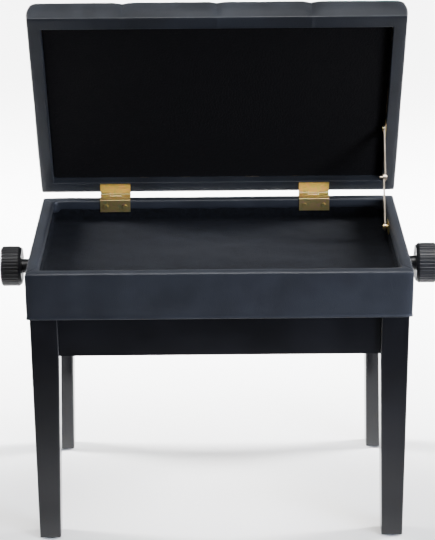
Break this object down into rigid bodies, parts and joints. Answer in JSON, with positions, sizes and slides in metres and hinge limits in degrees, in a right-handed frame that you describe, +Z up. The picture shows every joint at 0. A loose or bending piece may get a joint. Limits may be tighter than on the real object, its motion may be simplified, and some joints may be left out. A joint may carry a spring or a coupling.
{
  "type": "piano bench",
  "caption": "Height-adjustable piano bench: tufted padded lid on a storage box, scissor lift turned by side knobs, four tapered legs.",
  "frame": {"origin": "on the floor, under the middle of the whole bench as it stands with its lid open and its seat at the lowest", "axes": "+X to the sitter's right, +Y to the back, +Z up"},
  "size_m": [0.6672, 0.3745, 0.7719],
  "materials": {
    "black_lacquered_wood": "gloss black lacquer on solid wood",
    "softwood": "planed, unfinished",
    "plywood": "plywood, unfinished",
    "black_leatherette": "fine pebble grain, satin",
    "flocked_lining": "short flocked pile",
    "non_woven_lining": "flat non-woven",
    "seat_foam": "open-cell upholstery foam",
    "black_plastic": "moulded, satin",
    "nylon": "natural nylon",
    "glide_felt": "hard plastic glide",
    "yellow_zinc": "yellow zinc plated",
    "plated_steel": "nickel plated",
    "black_painted_steel": "black powder coat",
    "zinc_steel": "bright zinc plated"
  },
  "bodies": {
    "leg_frame": {"leg_rear_right": "black_lacquered_wood", "leg_rear_left": "black_lacquered_wood", "leg_front_right": "black_lacquered_wood", "leg_front_left": "black_lacquered_wood", "apron_front": "black_lacquered_wood", "apron_rear": "black_lacquered_wood", "apron_right": "black_lacquered_wood", "apron_left": "black_lacquered_wood", "batten_right": "softwood", "batten_left": "softwood", "foot_glides": "glide_felt", "corner_brackets": "zinc_steel", "leg_bolts": "zinc_steel", "leg_nuts": "zinc_steel", "bracket_screws": "zinc_steel", "lower_rail_front": "black_painted_steel", "lower_rail_rear": "black_painted_steel", "lower_rail_screws": "zinc_steel", "lower_pivot_shaft": "zinc_steel"},
    "seat_box": {"thrust_bar": "zinc_steel", "shaft_bushes": "nylon", "box_wall_front": "softwood", "box_wall_rear": "softwood", "box_wall_right": "softwood", "box_wall_left": "softwood", "box_floor": "plywood", "box_cover": "black_leatherette", "box_lining": "flocked_lining", "upper_rail_front": "black_painted_steel", "upper_rail_rear": "black_painted_steel", "upper_rail_screws": "zinc_steel", "hinge_box_leaves": "yellow_zinc", "hinge_pins": "yellow_zinc", "stay_box_bracket": "yellow_zinc", "box_hardware_screws": "yellow_zinc"},
    "scissor_outer": {"scissor_outer_front": "black_painted_steel", "scissor_outer_rear": "black_painted_steel", "centre_pivot_rivets": "zinc_steel"},
    "scissor_inner": {"scissor_inner_front": "black_painted_steel", "scissor_inner_rear": "black_painted_steel", "slide_shaft": "zinc_steel", "slide_rollers": "nylon"},
    "nut_bar": {"nut_bar": "zinc_steel"},
    "lift_screw": {"lift_screw": "zinc_steel", "knob_left": "black_plastic", "knob_right": "black_plastic", "knob_bolts": "zinc_steel", "thrust_collars": "zinc_steel"},
    "lid": {"lid_frame": "softwood", "lid_board": "plywood", "seat_foam": "seat_foam", "seat_cover": "black_leatherette", "lid_lining": "non_woven_lining", "tuft_buttons": "black_leatherette", "hinge_lid_leaves": "yellow_zinc", "stay_lid_bracket": "yellow_zinc", "lid_hardware_screws": "yellow_zinc"},
    "stay_lower": {"stay_lower_arm": "plated_steel"},
    "stay_upper": {"stay_upper_arm": "plated_steel"}
  },
  "joints": [
    {"name": "seat_lift", "type": "slide", "parent": "leg_frame", "child": "seat_box", "axis": [0, 0, 1], "range_m": [0, 0.09]},
    {"name": "scissor_turn", "type": "hinge", "parent": "leg_frame", "child": "scissor_outer", "pos_m": [-0.2, -0.02243, 0.346], "axis": [0, -1, 0], "range_deg": [0, 13.22]},
    {"name": "scissor_cross", "type": "hinge", "parent": "scissor_outer", "child": "scissor_inner", "pos_m": [-0.0009, -0.02243, 0.365], "axis": [0, -1, 0], "range_deg": [-26.44, 0]},
    {"name": "nut_swivel", "type": "hinge", "parent": "scissor_outer", "child": "nut_bar", "pos_m": [0.19819, -0.02243, 0.384], "axis": [0, -1, 0], "range_deg": [-13.22, 0]},
    {"name": "screw_turn", "type": "hinge", "parent": "seat_box", "child": "lift_screw", "pos_m": [0, -0.02243, 0.384], "axis": [1, 0, 0], "range_deg": [0, 3461.3]},
    {"name": "lid_hinge", "type": "hinge", "parent": "seat_box", "child": "lid", "pos_m": [0, 0.14558, 0.439], "axis": [-1, 0, 0], "range_deg": [-69, 0]},
    {"name": "stay_box_turn", "type": "hinge", "parent": "seat_box", "child": "stay_lower", "pos_m": [0.258, 0.02658, 0.425], "axis": [-1, 0, 0], "range_deg": [-130.5, 0]},
    {"name": "stay_lid_turn", "type": "hinge", "parent": "lid", "child": "stay_upper", "pos_m": [0.2603, 0.10591, 0.55767], "axis": [-1, 0, 0], "range_deg": [0, 103.53]}
  ],
  "couplings": [
    {"joint": "scissor_turn", "follows": "seat_lift", "rad_per_m": 2.5621},
    {"joint": "scissor_cross", "follows": "seat_lift", "rad_per_m": -5.1241},
    {"joint": "nut_swivel", "follows": "seat_lift", "rad_per_m": -2.5621},
    {"joint": "screw_turn", "follows": "seat_lift", "rad_per_m": 671.04},
    {"joint": "stay_box_turn", "follows": "lid_hinge", "ratio": 1.8898},
    {"joint": "stay_lid_turn", "follows": "lid_hinge", "ratio": -1.499}
  ]
}
